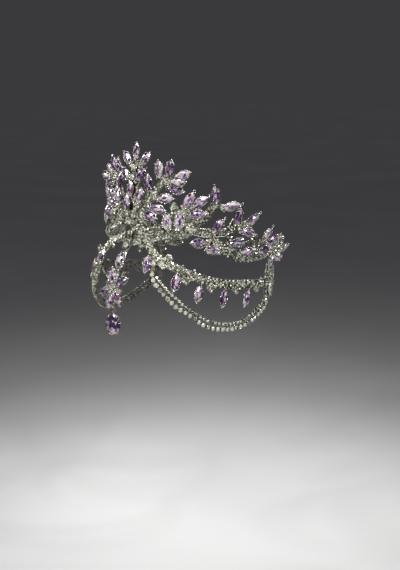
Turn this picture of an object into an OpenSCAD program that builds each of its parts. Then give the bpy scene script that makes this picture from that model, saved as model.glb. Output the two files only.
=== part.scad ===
// Bridal crown with a forehead drop, two side strands and double cup chains.
// Millimetres. The origin is the middle of the head seat. The wearer faces -Y, and +X is the wearer's left.
// Places on the crown are given as an angle round the head, from the front centre, and a height.

/* [Head seat] */
// Width of the crown's band across the head
seat_width = 150; // [149:1:156]
// Depth of the crown's band from the forehead to the back
seat_depth = 180; // [176:1:186]
// Width of the head where the strands lie
head_width = 160; // [159.5:0.5:161]
// Depth of the head where the strands lie
head_depth = 196; // [194:1:198]
// How far the middle of the head lies in front of the middle of the seat
head_forward = 11; // [11:1:12]

/* [Metal] */
// Thickness of the crystal bands
band_thick = 2; // [1.6:0.1:2.2]
// Radius of the stem wires
stem_r = 0.8; // [0.6:0.05:0.9]
// Wall of a stone's cup
cup_wall = 0.7; // [0.6:0.05:0.75]
// Floor of a stone's cup
cup_floor = 0.8; // [0.7:0.05:0.9]

/* [Leaf stones] */
// Length of a leaf stone
leaf_len = 16.6; // [16.3:0.1:16.8]
// Width of a leaf stone
leaf_wid = 8.3; // [7.8:0.1:8.4]
// Height of a stone above its girdle
leaf_top = 1.9; // [1.4:0.1:2.2]
// Depth of a stone below its girdle
leaf_deep = 1.5; // [1.4:0.1:1.6]
// Clearance between a stone and its cup
stone_gap = 0.15; // [0.1:0.01:0.2]
// How far a leaf's girdle stands out from the back of the bands
leaf_out = 4.8; // [4.6:0.1:5.4]
// How far a leaf's tip lifts away from the crown, in degrees
leaf_tilt = 8; // [7:1:10]
// Diameter of the round stones under the peak
round_dia = 5.6; // [5:0.1:6]

/* [Forehead drop] */
// Length of the oval stone
oval_len = 19; // [17:0.5:20]
// Width of the oval stone
oval_wid = 14.2; // [13.4:0.2:14.6]
// Height of the oval stone above its girdle
oval_top = 2.4; // [2:0.1:2.6]
// Depth of the oval stone below its girdle
oval_deep = 2.2; // [2:0.1:2.4]
// Radius of the wire of the drop's rings
ring_wire = 0.4; // [0.35:0.01:0.42]
// Middle radius of the jump ring
ring_r = 1.5; // [1.45:0.05:1.6]
// Middle radius of the bail
bail_r = 1.2; // [1.15:0.05:1.25]

/* [Side strands] */
// Thickness of a side strand
strand_thick = 2; // [1.8:0.1:2.2]
// Side of a square crystal unit on a strand
square_side = 7.6; // [7.2:0.1:7.8]
// Diameter of the round crystal on a strand
strand_round_dia = 6.4; // [6:0.1:6.8]
// Length of a stone on a back strap
strap_stone_len = 12.6; // [12:0.1:13]
// Width of a stone on a back strap
strap_stone_wid = 6; // [5.6:0.1:6.2]

/* [Cup chains] */
// Diameter of a cup of the outer chain
outer_cup = 4.5; // [4.2:0.1:4.5]
// Diameter of a cup of the inner chain
inner_cup = 3; // [2.8:0.1:3.1]
// Distance between the middles of two cups of the outer chain
outer_pitch = 5.1; // [5:0.1:5.6]
// Distance between the middles of two cups of the inner chain
inner_pitch = 4.2; // [4:0.1:4.6]

/* [Hidden] */
SIDES = ["left", "right"];
DROPS = [1, 2, 3, 4, 5];
SHELL = 0;
HEAD = 1;
BROW = 2;
METAL = "silver";
LILAC = "plum";
CLEAR = "gainsboro";

// How far the crown leans outwards above its hem: [angle round the head, degrees]
LEAN = [[0, -12], [15, -11], [30, -8], [45, -3], [60, 5], [90, 12], [110, 20], [130, 30]];
// Height of the hem, where the lean starts: [angle round the head, height]
HEM = [[0, 36], [30, 30], [45, 32], [60, 22], [70, 10], [80, 2], [90, 0]];
// Curve of the forehead below the crown: [height, distance behind the origin]
BROW_CURVE = [[-50, -112], [-30, -110.5], [-20, -109.5], [-12, -107], [-4, -104], [4, -100],
    [10, -96.5], [17, -93], [28, -89.5], [38, -87]];

// Crystal bands of the crown's left half, each a list of [angle, height, width]
BANDS = [
    // Front scroll, from under the peak round to the side spray
    [[-3, 42, 10], [8, 41, 11], [18, 36.5, 12], [26, 31.5, 12], [34, 30.5, 12], [40, 32.5, 11.5],
        [46, 38, 10.5], [52, 44, 9.5], [57, 50, 8], [60, 58, 6]],
    // Middle scroll
    [[43, 35, 6], [52, 31.5, 7], [60, 31, 7], [67, 31.5, 7], [71, 36, 6], [72.5, 43, 5]],
    // Side scroll, the rim round to the back
    [[56.5, 31, 6], [59.5, 24.5, 7], [64, 19, 8], [69, 12.5, 9], [76, 7, 10], [84, 5, 10], [92, 5, 10],
        [103, 6, 10], [113, 8, 9], [122, 11, 6]],
    // Branch up to the front spray
    [[5, 46, 10], [11, 54, 10], [17, 63, 9], [22, 71, 7], [27, 78, 5]],
    // Curl between the front leaves
    [[33.5, 36, 6], [35, 44, 8], [35.5, 51, 8], [33.5, 58, 6]],
    // Root of the side spray
    [[40, 38, 6], [42.5, 45, 6], [41.5, 53, 5]],
    // Bridge from the middle scroll down to the rim
    [[71.5, 12, 6], [70, 21, 6], [70.5, 31, 6]],
    // Hook behind the middle scroll
    [[72, 35, 4], [78, 35, 4.5], [83.5, 30.5, 5], [86.5, 22, 5], [88, 9, 5]],
    // Tail at the back
    [[107, 9, 5], [112, 14, 4.5], [117, 19, 3.5]]
];
// Crystal band on the centre line
CENTRE_BAND = [[0, 37, 14], [0, 44, 19], [0, 51, 18], [0, 58, 16], [0, 70, 14], [0, 82, 11], [0, 92, 6]];

GROUPS = ["peak", "front", "curl", "side", "scroll", "middle", "hem", "back", "tail"];
// Sprays of the left half: [group, hub angle, hub height, leaves], where a leaf is
// [angle, height, heading of its tip, extra height out], and heading 0 points back round the head
SPRAYS = [
    ["peak", 1, 88, [[10.5, 97, 45, 0]]],
    ["peak", 1, 74, [[8.5, 82.5, 45, 0.5]]],
    ["peak", 16, 61, [[11, 62.5, 75, 3.5], [15.5, 75, 92, 0]]],
    ["front", 27, 78, [[24, 88.5, 95, 0], [32.5, 89.5, 72, 0], [41, 84, 18, 0], [38.5, 77.5, 6, 4],
        [36.5, 71, -16, 0]]],
    ["curl", 18, 64, [[29, 62.5, 0, 0]]],
    ["curl", 12, 54, [[23.5, 52.5, -8, 0], [19.5, 45.5, -15, 3.5]]],
    ["curl", 35.5, 49, [[30.5, 40.5, -75, 0], [38.5, 42, -100, 0.5]]],
    ["side", 41.5, 53, [[44.5, 61.5, 58, 0], [51.5, 60, 36, 0.5], [49.5, 48.5, 6, 0]]],
    ["scroll", 60, 57, [[60, 66.5, 98, 0], [69.5, 56, 12, 0]]],
    ["middle", 73, 38, [[74, 45.5, 88, 0], [82.5, 42.5, 42, 0]]],
    ["middle", 58, 31, [[62, 37.5, 52, 0]]],
    ["hem", 59.5, 25, [[50, 22, 175, 0]]],
    ["hem", 65, 18, [[58.5, 15, 172, 0]]],
    ["back", 74, 34.5, [[80.5, 30.6, -20, 0]]],
    ["back", 90, 8, [[95, 26.5, 62, 0], [101.5, 20.5, 36, 0.5]]],
    ["back", 70, 22, [[75, 21.5, 3, 0]]],
    ["back", 78, 8, [[82.5, 12, 8, 0]]],
    ["back", 88, 9, [[93.5, 12.5, 14, 2.5]]],
    ["tail", 120, 9, [[126, 7, 20, 0]]],
    ["tail", 112, 6, [[106.5, -1.8, 188, 0], [117.5, -1.8, -8, 0]]]
];
// Leaves on the centre line: [angle, height, heading, extra height out]
CENTRE_LEAVES = [[0, 103, 90, 0], [0, 68, 90, 1], [0, 55.5, 90, 3]];
// Round stones on the centre line: [angle, height, extra height out]
CENTRE_ROUNDS = [[0, 88, 0], [0, 79.5, 0.5]];

// Petals of the forehead flower: [heading, distance of the petal's middle from the flower's]
PETALS = [[112, 11], [31, 11.2], [205, 11.2], [254, 13.8], [303, 11.6]];
FLOWER_Z = -20.5;
BROW_LEAF_Z = 3.5;
// Tab that hangs from the crown: [distance to the wearer's left, height, width]
TAB = [[5.5, 35, 10], [4.2, 28, 8.5], [2.6, 19, 6.5], [1.2, 11.5, 4.5]];
// Round crystals on the tab: [distance to the wearer's left, height, diameter]
TAB_ROUNDS = [[4.5, 28.2, 5], [1.6, 16.3, 6.2]];
CONNECTOR = [[0, -32, 6], [0, -36, 4.5], [0, -39.6, 2.4]];

// Front ends of the left and the right strand, each a list of [angle, height, width]
STRAND_FRONTS = [[[12, 29.9, 6], [14.5, 25.2, 7]], [[1, 26.5, 6], [6, 25, 7], [12.5, 21, 7.5]]];
// Rest of a side strand: [angle, height, width]
STRAND = [[19, 17.5, 7], [24, 11, 7.5], [29.5, 6.5, 7.5], [36, 2.5, 7.5], [42, -1, 7.5], [48.5, -5.5, 8],
    [55.8, -9.5, 8.5], [64, -13.8, 8.5], [72.5, -16.6, 8.5], [80.5, -18.6, 8.5], [88.3, -19.6, 8.5],
    [95.5, -21.5, 8], [103.8, -22.4, 7.5]];
// Short curl at the strand's front end
STRAND_CURL = [[15, 22.5, 5], [12.6, 18.5, 5.5], [12.6, 13.5, 4]];
// Square units of a side strand: [angle, height]
SQUARES = [[31.5, 3.3], [47.2, -10], [63, -18.4], [79.8, -22.6], [95.8, -24.2]];
// Round crystal on the strand's upper edge: [angle, height]
STRAND_ROUND = [34.2, 8];
// Hanging loops of a strand's drops: [angle, height, lean of the drop's lower end to the front]
DROP_LOOPS = [[20.8, 11, 4], [41.6, -3.6, 11], [56.3, -14.8, 17], [71.4, -20.2, 15], [87.8, -24, 25]];

// Back strap: [angle, height, width]
STRAP = [[112, -6.8, 15], [111, -13, 19], [110.3, -20, 21], [109.8, -28, 20], [108, -36, 14],
    [106, -42, 7], [104.2, -46.5, 4]];
STRAP_STONE = [107.4, -29];

// Cup chains: [angle, height]
OUTER_CHAIN = [[25.4, 3.55], [25.8, -2.5], [26.6, -7], [28.5, -12], [31, -16.3], [34.3, -21.2],
    [37.6, -26.4], [40.3, -31], [43.2, -35.2], [47, -39], [50.5, -43.2], [53.5, -46.2], [56, -49.7],
    [60, -54.2], [65, -57.2], [70, -59], [76, -60], [81.3, -59.5], [87, -57.8], [92, -54.8], [97, -50.9],
    [100, -48.7], [102.1, -46.9]];
INNER_CHAIN = [[29.7, -8.4], [32.5, -12.7], [34.8, -15.9], [38.5, -21.4], [43, -27.6], [46.8, -33.2],
    [49, -36], [53.3, -41], [57.3, -45.6], [61.5, -49.8], [64, -51.6], [67.3, -53.2], [70.5, -54.4],
    [74.5, -55.4], [79, -55.4], [83, -54.7], [87, -53.2], [91, -50.7], [95, -47.2], [99, -43.6],
    [103, -40.2]];

function unit(v) = v / norm(v);

// A point of the crown's shell, of the head under the strands, or of the forehead
function spot(s, u, v) =
    s == SHELL ? shell_spot(u, v) :
    s == HEAD ? [head_width/2*sin(u), -head_forward - head_reach(u, v)*cos(u), v] :
    [u, lookup(v, BROW_CURVE), v];
function head_reach(u, v) = abs(u) < 90 ? -lookup(v, BROW_CURVE) - head_forward : head_depth/2;
function shell_spot(u, v) =
    let(foot = [seat_width/2*sin(u), -seat_depth/2*cos(u), v])
    let(away = unit([sin(u)/seat_width, -cos(u)/seat_depth, 0]))
    foot + away*tan(lookup(abs(u), LEAN))*max(0, v - lookup(abs(u), HEM));

// Directions at such a point: back round the head, up, and straight out
function round_dir(s, u, v) = unit(spot(s, u + 1, v) - spot(s, u - 1, v));
function out_dir(s, u, v) = unit(cross(round_dir(s, u, v), spot(s, u, v + 1) - spot(s, u, v - 1)));
function up_dir(s, u, v) = cross(out_dir(s, u, v), round_dir(s, u, v));
function raised(s, u, v, out) = spot(s, u, v) + out*out_dir(s, u, v);
function heading_dir(s, u, v, heading) = cos(heading)*round_dir(s, u, v) + sin(heading)*up_dir(s, u, v);
function along_dir(s, u, v, heading, tilt) =
    cos(tilt)*heading_dir(s, u, v, heading) + sin(tilt)*out_dir(s, u, v);
function face_dir(s, u, v, heading, tilt) =
    cos(tilt)*out_dir(s, u, v) - sin(tilt)*heading_dir(s, u, v, heading);

// Lays children on a surface, their X along the heading and their Z outwards
module lay(s, u, v, out, heading = 0, tilt = 0) {
    x = along_dir(s, u, v, heading, tilt);
    z = face_dir(s, u, v, heading, tilt);
    y = cross(z, x);
    p = raised(s, u, v, out);
    multmatrix([[x.x, y.x, z.x, p.x], [x.y, y.y, z.y, p.y], [x.z, y.z, z.z, p.z], [0, 0, 0, 1]])
        children();
}

// Smooth curve through the rows of a table, with some steps between each two rows
function curve_row(a, b, c, d, t) =
    0.5*(2*b + (c - a)*t + (2*a - 5*b + 4*c - d)*t*t + (3*b - a - 3*c + d)*t*t*t);
function curve(rows, steps) = let(n = len(rows) - 1) concat(
    [for (i = [0:n - 1], k = [0:steps - 1])
        curve_row(rows[max(0, i - 1)], rows[i], rows[i + 1], rows[min(n, i + 2)], k/steps)],
    [rows[n]]);

// Flat band that follows a surface along a table of [u, v, width]
module ribbon(s, rows, thick, steps = 2) {
    path = curve(rows, steps);
    n = len(path);
    spots = [for (r = path) spot(s, r[0], r[1])];
    rings = [for (i = [0:n - 1])
        let(out = out_dir(s, path[i][0], path[i][1]))
        let(run = unit(spots[min(n - 1, i + 1)] - spots[max(0, i - 1)]))
        let(half = unit(cross(out, run))*path[i][2]/2)
        [spots[i] + half, spots[i] + half + out*thick, spots[i] - half + out*thick, spots[i] - half]];
    skin(rings);
}

// Closed solid through rings of equal count, each turning anticlockwise seen against the way of travel
module skin(rings) {
    m = len(rings[0]);
    n = len(rings);
    polyhedron([for (r = rings) each r], concat(
        [[for (j = [0:m - 1]) j]],
        [for (i = [0:n - 2], j = [0:m - 1]) [(i + 1)*m + j, (i + 1)*m + (j + 1)%m, i*m + j]],
        [for (i = [0:n - 2], j = [0:m - 1]) [(i + 1)*m + (j + 1)%m, i*m + (j + 1)%m, i*m + j]],
        [[for (j = [m - 1:-1:0]) (n - 1)*m + j]]));
}

// Straight wire with pointed ends
module wire(a, b, r = stem_r) {
    hull() {
        translate(a) bead(r);
        translate(b) bead(r);
    }
}

module bead(r) {
    polyhedron([[r, 0, 0], [0, r, 0], [-r, 0, 0], [0, -r, 0], [0, 0, r], [0, 0, -r]],
        [for (i = [0:3]) each [[i, 4, (i + 1)%4], [i, (i + 1)%4, 5]]]);
}

// Outlines: a leaf with two points and a shoulder on each side of them, and an ellipse
SHOULDER_AT = 0.55;
SHOULDER_WID = 0.7;
function leaf_line(a, b) = let(p = SHOULDER_AT*a, q = SHOULDER_WID*b)
    [[a, 0], [p, q], [0, b], [-p, q], [-a, 0], [-p, -q], [0, -b], [p, -q]];
function oval_line(a, b, n) = [for (i = [0:n - 1]) [a*cos(360*i/n), b*sin(360*i/n)]];

// Cut stone: a table, a row of facets down to the girdle, and facets down to a keel
module gem(line, keel, top, deep, table = 0.58) {
    n = len(line);
    polyhedron(
        concat([for (p = line) [p.x*table, p.y*table, top]], [for (p = line) [p.x, p.y, 0]],
            [[keel, 0, -deep], [-keel, 0, -deep]]),
        concat([[for (i = [n - 1:-1:0]) i]],
            [for (i = [0:n - 1]) [i, (i + 1)%n, n + (i + 1)%n, n + i]],
            [for (i = [0:n - 1]) [n + i, n + (i + 1)%n, 2*n + keel_end(i, n)]],
            [[n + n/4, 2*n + 1, 2*n], [n + 3*n/4, 2*n, 2*n + 1]]));
}
// Which end of the keel a pavilion facet runs to
function keel_end(i, n) = i < n/4 || i >= 3*n/4 ? 0 : 1;

// Closed-back cup with a recess that fits the stone
module cup(outer, inner, keel, deep, foot = 0.62) {
    n = len(outer);
    bottom = -deep - stone_gap - cup_floor;
    polyhedron(
        concat([for (p = outer) [p.x*foot, p.y*foot, bottom]], [for (p = outer) [p.x, p.y, 0]],
            [for (p = inner) [p.x, p.y, 0]], [[keel, 0, -deep - stone_gap], [-keel, 0, -deep - stone_gap]]),
        concat([[for (i = [0:n - 1]) i]],
            [for (i = [0:n - 1]) [n + i, n + (i + 1)%n, (i + 1)%n, i]],
            [for (i = [0:n - 1]) [n + i, 2*n + i, 2*n + (i + 1)%n, n + (i + 1)%n]],
            [for (i = [0:n - 1]) [2*n + i, 3*n + keel_end(i, n), 2*n + (i + 1)%n]],
            [[2*n + n/4, 3*n, 3*n + 1], [2*n + 3*n/4, 3*n + 1, 3*n]]));
}

// Half length of a stone's keel, as a share of the stone's length
LEAF_KEEL = 0.22;
ROUND_KEEL = 0.05;
OVAL_KEEL = 0.15;
ROUND_SIDES = 8;
OVAL_SIDES = 16;
// Thickness of a leaf cup's wall at its two points, as a share of the rest of the wall
TIP_WALL = 1.4;
module leaf_stone(length = leaf_len, width = leaf_wid) {
    gem(leaf_line(length/2, width/2), length*LEAF_KEEL, leaf_top, leaf_deep);
}
module leaf_cup(length = leaf_len, width = leaf_wid) {
    a = length/2 + stone_gap;
    b = width/2 + stone_gap;
    cup(leaf_line(a + cup_wall*TIP_WALL, b + cup_wall), leaf_line(a, b), length*LEAF_KEEL, leaf_deep);
}
module round_stone(dia = round_dia) {
    gem(oval_line(dia/2, dia/2, ROUND_SIDES), dia*ROUND_KEEL, leaf_top, leaf_deep);
}
module round_cup(dia = round_dia) {
    r = dia/2 + stone_gap;
    cup(oval_line(r + cup_wall, r + cup_wall, ROUND_SIDES), oval_line(r, r, ROUND_SIDES), dia*ROUND_KEEL,
        leaf_deep);
}

// Middle of a cup's floor at the leaf's root, where its stem is soldered on
STEM_AT = 0.31;
function leaf_root(s, l, length = leaf_len, tilt = leaf_tilt) =
    raised(s, l[0], l[1], leaf_out + l[3])
        - along_dir(s, l[0], l[1], l[2], tilt)*length*STEM_AT
        - face_dir(s, l[0], l[1], l[2], tilt)*(leaf_deep + cup_floor);

module half_frame() {
    for (rows = BANDS) ribbon(SHELL, rows, band_thick);
    for (spray = SPRAYS, l = spray[3]) {
        lay(SHELL, l[0], l[1], leaf_out + l[3], l[2], leaf_tilt) leaf_cup();
        wire(raised(SHELL, spray[1], spray[2], band_thick/2), leaf_root(SHELL, l));
    }
}

// How far below the middle of a centre leaf its stem starts
CENTRE_STEM = 12;
module crown_frame() {
    color(METAL) union() {
        half_frame();
        mirror([1, 0, 0]) half_frame();
        ribbon(SHELL, CENTRE_BAND, band_thick);
        for (l = CENTRE_LEAVES) {
            lay(SHELL, l[0], l[1], leaf_out + l[3], l[2], leaf_tilt) leaf_cup();
            wire(raised(SHELL, 0, l[1] - CENTRE_STEM, band_thick/2), leaf_root(SHELL, l));
        }
        for (r = CENTRE_ROUNDS) {
            lay(SHELL, r[0], r[1], leaf_out + r[2]) round_cup();
            wire(raised(SHELL, r[0], r[1], band_thick/2),
                raised(SHELL, r[0], r[1], leaf_out + r[2] - leaf_deep - cup_floor));
        }
    }
}

module crown_centre_stones() {
    color(LILAC) for (l = CENTRE_LEAVES)
        lay(SHELL, l[0], l[1], leaf_out + l[3], l[2], leaf_tilt) leaf_stone();
}
module crown_centre_crystals() {
    color(CLEAR) for (r = CENTRE_ROUNDS)
        lay(SHELL, r[0], r[1], leaf_out + r[2]) round_stone();
}

module on_side(side) {
    if (side == "left") children();
    else mirror([1, 0, 0]) children();
}

module group_stones(side, group) {
    color(LILAC) on_side(side)
        for (spray = SPRAYS, l = spray[3]) if (spray[0] == group)
            lay(SHELL, l[0], l[1], leaf_out + l[3], l[2], leaf_tilt) leaf_stone();
}

FRONTLET_LEN = leaf_len - 0.8;
FRONTLET_WID = leaf_wid + 0.4;
FLOWER_ROUND = 4.6;
FRONTLET_OUT = 3;
TAB_ROUND_OUT = 4.1;
FLOWER_OUT = 0.5;
PETAL_WIRE_R = 0.76;
// Wires down the middle of the frontlet: [upper end, lower end]
SPINE = [[13, 4], [3, -12], [-11, -20.5]];
// Height of the flower as a share of its width, tilt of its petals, and how far out their wires run
FLOWER_HIGH = 0.97;
PETAL_TILT = -6;
PETAL_WIRE = 0.75;
CONNECTOR_THICK = 1.6;
function petal_spot(p) = [p[1]*cos(p[0]), FLOWER_Z + p[1]*sin(p[0])*FLOWER_HIGH];

module petals() {
    for (p = PETALS) let(at = petal_spot(p))
        lay(BROW, at.x, at.y, FRONTLET_OUT, p[0], PETAL_TILT) children();
}

// Round crystal between two petals: [heading, distance]
FLOWER_ROUND_AT = [-14, 9.6];
module flower_round() {
    at = petal_spot(FLOWER_ROUND_AT);
    lay(BROW, at.x, at.y, FRONTLET_OUT) children();
}

// Heights of the rings that carry the oval drop, from the frontlet's end loop down
DROP_Y = -112;
LOOP_R = 1.25;
LOOP_Z = -40.6;
RING_SLACK = 0.12;
OVAL_BELOW_BAIL = 0.4;
ring_play = 2*ring_wire + RING_SLACK;
ring_top_z = LOOP_Z - LOOP_R*cos(30) + ring_play;
PIVOT_Z = ring_top_z - 2*ring_r;
bail_z = PIVOT_Z + ring_play - bail_r;
oval_z = bail_z - bail_r - oval_len/2 - OVAL_BELOW_BAIL;
// How far the oval's girdle lies in front of the pivot, so that the drop hangs plumb
OVAL_FORWARD = 1.12;
// How far the drop and its rings are turned to the wearer's left, in degrees
DROP_TURN = 20;
module at_pivot_line() {
    translate([0, DROP_Y, 0]) rotate([0, 0, DROP_TURN]) children();
}

module frontlet_frame() {
    color(METAL) union() {
        ribbon(BROW, TAB, band_thick);
        lay(BROW, 0, BROW_LEAF_Z, FRONTLET_OUT, 90) leaf_cup(FRONTLET_LEN, FRONTLET_WID);
        for (r = TAB_ROUNDS) lay(BROW, r[0], r[1], TAB_ROUND_OUT) round_cup(r[2]);
        petals() leaf_cup(FRONTLET_LEN, FRONTLET_WID);
        flower_round() round_cup(FLOWER_ROUND);
        ribbon(BROW, CONNECTOR, CONNECTOR_THICK, 1);
        for (z = SPINE) wire(raised(BROW, 0, z[0], FLOWER_OUT), raised(BROW, 0, z[1], FLOWER_OUT));
        for (p = concat(PETALS, [FLOWER_ROUND_AT])) let(at = petal_spot([p[0], p[1]*PETAL_WIRE]))
            wire(raised(BROW, 0, FLOWER_Z, FLOWER_OUT), raised(BROW, at.x, at.y, FLOWER_OUT), PETAL_WIRE_R);
        wire(raised(BROW, 0, FLOWER_Z, FLOWER_OUT), raised(BROW, 0, CONNECTOR[0][1], FLOWER_OUT));
        at_pivot_line() for (i = [0:5]) wire(loop_spot(60*i), loop_spot(60*i + 60), ring_wire);
    }
}
function loop_spot(a) = [0, LOOP_R*cos(a), LOOP_Z + LOOP_R*sin(a)];

module frontlet_stones() {
    color(LILAC) {
        lay(BROW, 0, BROW_LEAF_Z, FRONTLET_OUT, 90) leaf_stone(FRONTLET_LEN, FRONTLET_WID);
        petals() leaf_stone(FRONTLET_LEN, FRONTLET_WID);
    }
}
module frontlet_crystals() {
    color(CLEAR) {
        for (r = TAB_ROUNDS) lay(BROW, r[0], r[1], TAB_ROUND_OUT) round_stone(r[2]);
        flower_round() round_stone(FLOWER_ROUND);
    }
}

module ring(r, w) {
    rotate_extrude($fn = 32) translate([r, 0]) circle(w, $fn = 16);
}
module drop_ring() {
    color(METAL) at_pivot_line() translate([0, 0, ring_top_z - ring_r]) rotate([90, 0, 0])
        ring(ring_r, ring_wire);
}

// Lays the oval with its long axis upright and its table to the front
module at_oval() {
    at_pivot_line() translate([0, -OVAL_FORWARD, oval_z]) rotate([90, 0, 0]) rotate([0, 0, 90]) children();
}
OVAL_EXTRA_WALL = 0.2;
module drop_setting() {
    a = oval_len/2 + stone_gap;
    b = oval_wid/2 + stone_gap;
    rim = cup_wall + OVAL_EXTRA_WALL;
    color(METAL) union() {
        at_oval() cup(oval_line(a + rim, b + rim, OVAL_SIDES), oval_line(a, b, OVAL_SIDES),
            oval_len*OVAL_KEEL, oval_deep);
        at_pivot_line() translate([0, 0, bail_z]) rotate([0, 90, 0]) ring(bail_r, ring_wire);
    }
}
module drop_stone() {
    color(LILAC) at_oval()
        gem(oval_line(oval_len/2, oval_wid/2, OVAL_SIDES), oval_len*OVAL_KEEL, oval_top, oval_deep);
}

// Staples in front of the strand's lower edge carry the drops, each by a bail on its upper end
SMALL_BAIL = 1;
SMALL_WIRE = 0.32;
SMALL_PLAY = 2*SMALL_WIRE + RING_SLACK;
STRAND_ROUND_OUT = 4;
STAPLE_HALF = 1.2;
STAPLE_OUT = 3.6;
STAPLE_ROOT = 1.6;
DROP_SEAT = 0.25;
SQUARE_RAISE = 0.4;
module at_loop(d) {
    lay(HEAD, d[0], d[1], STAPLE_OUT, 90 - d[2]) children();
}
module strand(side) {
    color(METAL) on_side(side) union() {
        ribbon(HEAD, concat(STRAND_FRONTS[side == "left" ? 0 : 1], STRAND), strand_thick);
        ribbon(HEAD, STRAND_CURL, strand_thick);
        lay(HEAD, STRAND_ROUND[0], STRAND_ROUND[1], STRAND_ROUND_OUT) round_cup(strand_round_dia);
        for (q = SQUARES) lay(HEAD, q[0], q[1], 0, 45)
            translate([-square_side/2, -square_side/2, 0])
                cube([square_side, square_side, strand_thick + SQUARE_RAISE]);
        for (d = DROP_LOOPS) at_loop(d) {
            wire([0, -STAPLE_HALF, 0], [0, STAPLE_HALF, 0], SMALL_WIRE);
            for (y = [-STAPLE_HALF, STAPLE_HALF])
                wire([0, y, 0], [STAPLE_ROOT, y, STAPLE_ROOT - STAPLE_OUT], SMALL_WIRE);
        }
    }
}
module strand_crystal(side) {
    color(CLEAR) on_side(side) lay(HEAD, STRAND_ROUND[0], STRAND_ROUND[1], STRAND_ROUND_OUT)
        round_stone(strand_round_dia);
}
module at_drop(i) {
    at_loop(DROP_LOOPS[i - 1]) translate([SMALL_PLAY - 2*SMALL_BAIL - leaf_len/2 - DROP_SEAT, 0, DROP_SEAT*2])
        children();
}
module strand_drop(side, i) {
    color(METAL) on_side(side) union() {
        at_drop(i) leaf_cup();
        at_loop(DROP_LOOPS[i - 1]) translate([SMALL_PLAY - SMALL_BAIL, 0, 0]) rotate([90, 0, 0])
            ring(SMALL_BAIL, SMALL_WIRE);
    }
}
module strand_drop_stone(side, i) {
    color(LILAC) on_side(side) at_drop(i) leaf_stone();
}

STRAP_OUT = 4.2;
module strap(side) {
    color(METAL) on_side(side) union() {
        ribbon(HEAD, STRAP, strand_thick);
        lay(HEAD, STRAP_STONE[0], STRAP_STONE[1], STRAP_OUT, 90) leaf_cup(strap_stone_len, strap_stone_wid);
    }
}
module strap_stone(side) {
    color(CLEAR) on_side(side) lay(HEAD, STRAP_STONE[0], STRAP_STONE[1], STRAP_OUT, 90)
        leaf_stone(strap_stone_len, strap_stone_wid);
}

// Cups of one diameter at equal steps along a route on the head, with a link bar between each two
LINK_WIDE = 1.1;
LINK_HIGH = 0.9;
LINK_LAP = 0.4;
// Height of a cup as a share of its diameter
CUP_HIGH = 0.6;
function sums(v, i = 0, total = 0) = i == len(v) ? [total] : concat([total], sums(v, i + 1, total + v[i]));
function head_spot(r) = spot(HEAD, r[0], r[1]);
function chain_rows(route, pitch) =
    let(path = curve(route, 4), last = len(path) - 1)
    let(run = sums([for (i = [0:last - 1]) norm(head_spot(path[i + 1]) - head_spot(path[i]))]))
    let(where = [for (i = [0:last]) [run[i], i]], count = floor(run[last]/pitch))
    [for (k = [0:count]) let(at = lookup(k*run[last]/count, where), i = min(last - 1, floor(at)))
        path[i] + (at - i)*(path[i + 1] - path[i])];
module cup_chain(side, route, dia, pitch) {
    rows = chain_rows(route, pitch);
    color(METAL) on_side(side) union() {
        for (r = rows) lay(HEAD, r[0], r[1], 0) cylinder(d = dia, h = dia*CUP_HIGH, $fn = 24);
        for (k = [1:len(rows) - 1]) link_bar(rows[k - 1], rows[k], dia);
    }
}
module link_bar(a, b, dia) {
    z = out_dir(HEAD, (a[0] + b[0])/2, (a[1] + b[1])/2);
    between = head_spot(b) - head_spot(a);
    y = unit(cross(z, between));
    x = cross(y, z);
    p = head_spot(a) + z*LINK_HIGH/2;
    multmatrix([[x.x, y.x, z.x, p.x], [x.y, y.y, z.y, p.y], [x.z, y.z, z.z, p.z], [0, 0, 0, 1]])
        translate([dia/2 - LINK_LAP, -LINK_WIDE/2, 0])
            cube([norm(between) - dia + 2*LINK_LAP, LINK_WIDE, LINK_HIGH]);
}

crown_frame();
crown_centre_stones();
crown_centre_crystals();
for (side = SIDES, group = GROUPS)
    group_stones(side, group);
frontlet_frame();
frontlet_stones();
frontlet_crystals();
drop_ring();
drop_setting();
drop_stone();
for (side = SIDES) {
    strand(side);
    strand_crystal(side);
    strap(side);
    strap_stone(side);
    cup_chain(side, OUTER_CHAIN, outer_cup, outer_pitch);
    cup_chain(side, INNER_CHAIN, inner_cup, inner_pitch);
    for (i = DROPS) {
        strand_drop(side, i);
        strand_drop_stone(side, i);
    }
}
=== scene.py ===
"""Looks of the bridal crown: cut stones, claws, crystal bands, wires, metal and glass, light and camera.

Tables hold millimetres and degrees, as the part's source does, and MM turns them into metres.
"""
import functools
import itertools
import math
import random

import bpy
import numpy as np
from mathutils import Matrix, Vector


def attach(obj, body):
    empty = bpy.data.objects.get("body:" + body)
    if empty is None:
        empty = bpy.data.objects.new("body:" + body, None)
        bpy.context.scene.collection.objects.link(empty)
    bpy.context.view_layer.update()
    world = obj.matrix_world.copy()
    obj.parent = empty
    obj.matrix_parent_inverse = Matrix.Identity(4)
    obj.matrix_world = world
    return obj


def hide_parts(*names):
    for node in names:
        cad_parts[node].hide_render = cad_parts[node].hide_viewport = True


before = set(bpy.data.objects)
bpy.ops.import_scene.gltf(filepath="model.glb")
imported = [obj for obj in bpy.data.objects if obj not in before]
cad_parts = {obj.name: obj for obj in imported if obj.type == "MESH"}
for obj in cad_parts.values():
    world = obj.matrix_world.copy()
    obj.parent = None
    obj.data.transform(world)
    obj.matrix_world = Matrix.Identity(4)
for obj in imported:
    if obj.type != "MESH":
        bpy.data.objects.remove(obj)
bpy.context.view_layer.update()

MM = 0.001

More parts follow.
